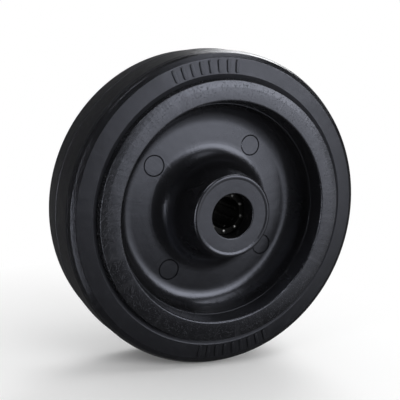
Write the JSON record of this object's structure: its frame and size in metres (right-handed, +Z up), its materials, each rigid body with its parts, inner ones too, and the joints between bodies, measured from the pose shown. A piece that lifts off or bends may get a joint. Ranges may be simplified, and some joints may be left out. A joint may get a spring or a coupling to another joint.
{
  "type": "solid rubber trolley wheel with roller bearing",
  "caption": "Solid rubber tyre on a moulded plastic wheel centre, with a caged roller bearing in the hub, for castors and trolleys.",
  "frame": {"origin": "the wheel's centre, on the axle's axis, halfway along the hub", "axes": "+Y along the axle, away from the pictured front face; +Z up; +X to the right as seen from the front"},
  "size_m": [0.125, 0.045, 0.125],
  "materials": {
    "tyre_rubber": "satin moulded rubber",
    "moulded_plastic": "satin injection moulding, finely scuffed rim face",
    "cage_plastic": "satin, lightly oiled",
    "roller_steel": "ground and oiled"
  },
  "bodies": {
    "wheel": {"tyre": "tyre_rubber", "wheel_centre": "moulded_plastic"},
    "cage": {"roller_cage": "cage_plastic"},
    "roller_1_body": {"roller_1": "roller_steel"},
    "roller_2_body": {"roller_2": "roller_steel"},
    "roller_3_body": {"roller_3": "roller_steel"},
    "roller_4_body": {"roller_4": "roller_steel"},
    "roller_5_body": {"roller_5": "roller_steel"},
    "roller_6_body": {"roller_6": "roller_steel"},
    "roller_7_body": {"roller_7": "roller_steel"},
    "roller_8_body": {"roller_8": "roller_steel"},
    "roller_9_body": {"roller_9": "roller_steel"}
  },
  "joints": [
    {"name": "cage_spin", "type": "hinge", "parent": "wheel", "child": "cage", "pos_m": [0, 0, 0], "axis": [0, 1, 0], "continuous": true},
    {"name": "roller_1_spin", "type": "hinge", "parent": "cage", "child": "roller_1_body", "pos_m": [0, 0, 0.00734], "axis": [0, 1, 0], "continuous": true},
    {"name": "roller_2_spin", "type": "hinge", "parent": "cage", "child": "roller_2_body", "pos_m": [-0.00472, 0, 0.00562], "axis": [0, 1, 0], "continuous": true},
    {"name": "roller_3_spin", "type": "hinge", "parent": "cage", "child": "roller_3_body", "pos_m": [-0.00723, 0, 0.00127], "axis": [0, 1, 0], "continuous": true},
    {"name": "roller_4_spin", "type": "hinge", "parent": "cage", "child": "roller_4_body", "pos_m": [-0.00636, 0, -0.00367], "axis": [0, 1, 0], "continuous": true},
    {"name": "roller_5_spin", "type": "hinge", "parent": "cage", "child": "roller_5_body", "pos_m": [-0.00251, 0, -0.0069], "axis": [0, 1, 0], "continuous": true},
    {"name": "roller_6_spin", "type": "hinge", "parent": "cage", "child": "roller_6_body", "pos_m": [0.00251, 0, -0.0069], "axis": [0, 1, 0], "continuous": true},
    {"name": "roller_7_spin", "type": "hinge", "parent": "cage", "child": "roller_7_body", "pos_m": [0.00636, 0, -0.00367], "axis": [0, 1, 0], "continuous": true},
    {"name": "roller_8_spin", "type": "hinge", "parent": "cage", "child": "roller_8_body", "pos_m": [0.00723, 0, 0.00127], "axis": [0, 1, 0], "continuous": true},
    {"name": "roller_9_spin", "type": "hinge", "parent": "cage", "child": "roller_9_body", "pos_m": [0.00472, 0, 0.00562], "axis": [0, 1, 0], "continuous": true}
  ],
  "couplings": [
    {"joint": "roller_1_spin", "follows": "cage_spin", "ratio": -6.9919},
    {"joint": "roller_2_spin", "follows": "cage_spin", "ratio": -6.9919},
    {"joint": "roller_3_spin", "follows": "cage_spin", "ratio": -6.9919},
    {"joint": "roller_4_spin", "follows": "cage_spin", "ratio": -6.9919},
    {"joint": "roller_5_spin", "follows": "cage_spin", "ratio": -6.9919},
    {"joint": "roller_6_spin", "follows": "cage_spin", "ratio": -6.9919},
    {"joint": "roller_7_spin", "follows": "cage_spin", "ratio": -6.9919},
    {"joint": "roller_8_spin", "follows": "cage_spin", "ratio": -6.9919},
    {"joint": "roller_9_spin", "follows": "cage_spin", "ratio": -6.9919}
  ]
}
